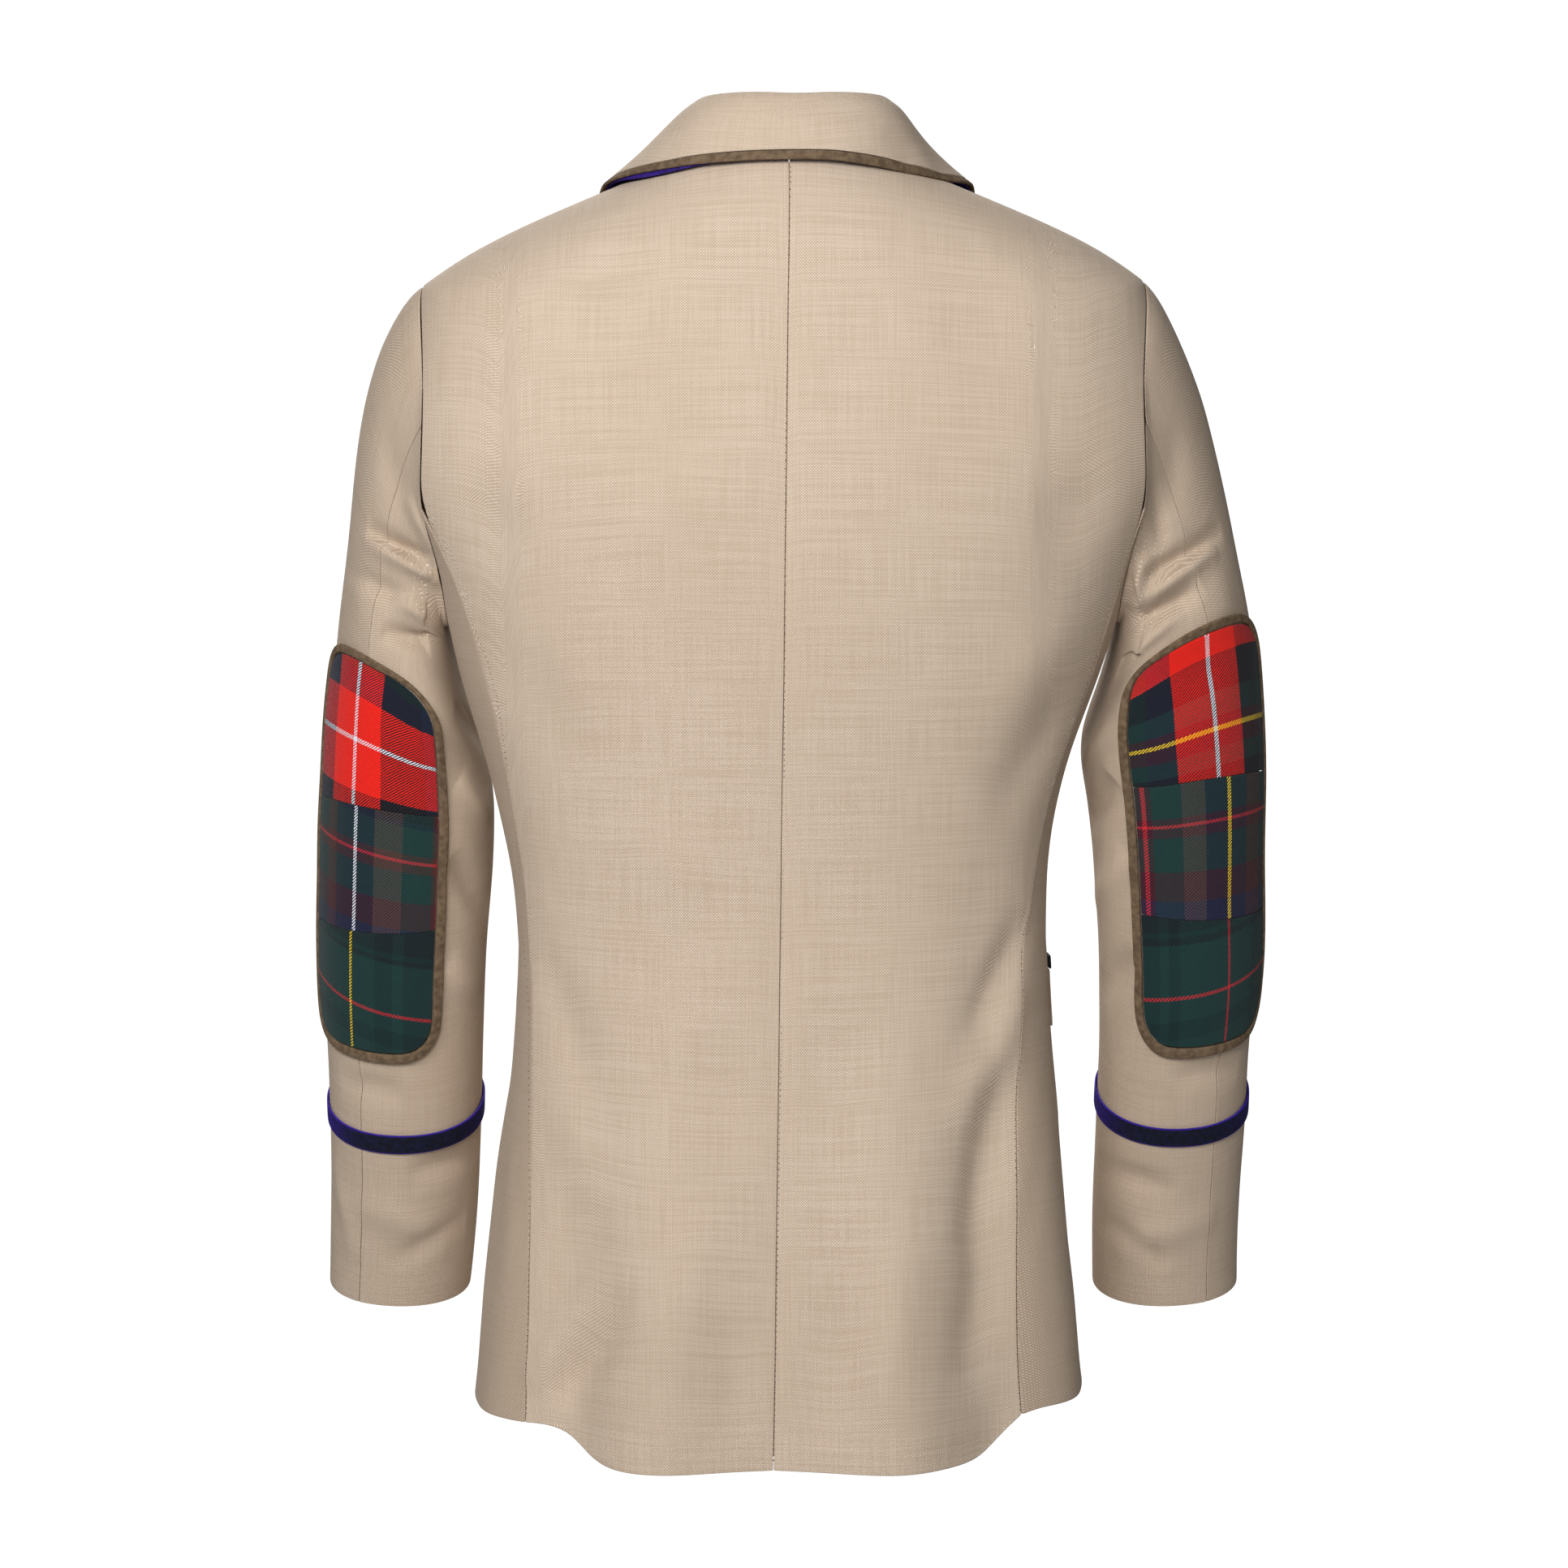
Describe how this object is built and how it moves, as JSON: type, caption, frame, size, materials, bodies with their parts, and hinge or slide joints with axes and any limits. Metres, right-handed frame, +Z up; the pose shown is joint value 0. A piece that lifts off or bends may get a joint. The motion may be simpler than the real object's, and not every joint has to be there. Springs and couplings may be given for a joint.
{
  "type": "janker jacket",
  "caption": "Tailored hip-length jacket with turn-down collar, tartan elbow patches and bound edges, filled out and empty.",
  "frame": {"origin": "centre of the neck opening, level with the neck seam, where a wearer's neck and shoulders hold the jacket", "axes": "+X towards the wearer's left, +Y out of the wearer's back, +Z up along the wearer"},
  "size_m": [0.6114, 0.2734, 0.846],
  "materials": {
    "jacket_cloth": "two-tone beige weave, matte",
    "brown_felt": "brown felt binding",
    "purple_velvet": "short pile, purple at the edges",
    "red_tartan": "twill check, mostly red",
    "blue_tartan": "twill check, navy and green",
    "green_tartan": "twill check, dark green",
    "dark_welt": "near-black cloth",
    "horn": "horn button, satin"
  },
  "bodies": {
    "root": {"back_left": "jacket_cloth", "back_right": "jacket_cloth", "side_left": "jacket_cloth", "side_right": "jacket_cloth", "front_left": "jacket_cloth", "front_right": "jacket_cloth", "lapel_left": "jacket_cloth", "lapel_right": "jacket_cloth", "pocket_welt_left": "dark_welt", "pocket_welt_right": "dark_welt", "pocket_flap_left": "jacket_cloth", "pocket_flap_right": "jacket_cloth", "sleeve_top_left": "jacket_cloth", "sleeve_top_right": "jacket_cloth", "sleeve_under_left": "jacket_cloth", "sleeve_under_right": "jacket_cloth", "patch_upper_left": "red_tartan", "patch_upper_right": "red_tartan", "patch_middle_left": "blue_tartan", "patch_middle_right": "blue_tartan", "patch_lower_left": "green_tartan", "patch_lower_right": "green_tartan", "patch_binding_left": "brown_felt", "patch_binding_right": "brown_felt", "sleeve_band_left": "purple_velvet", "sleeve_band_right": "purple_velvet", "collar_fall": "jacket_cloth", "collar_binding": "brown_felt", "collar_stand": "jacket_cloth", "undercollar": "purple_velvet", "button_1": "horn", "button_2": "horn"}
  },
  "joints": []
}
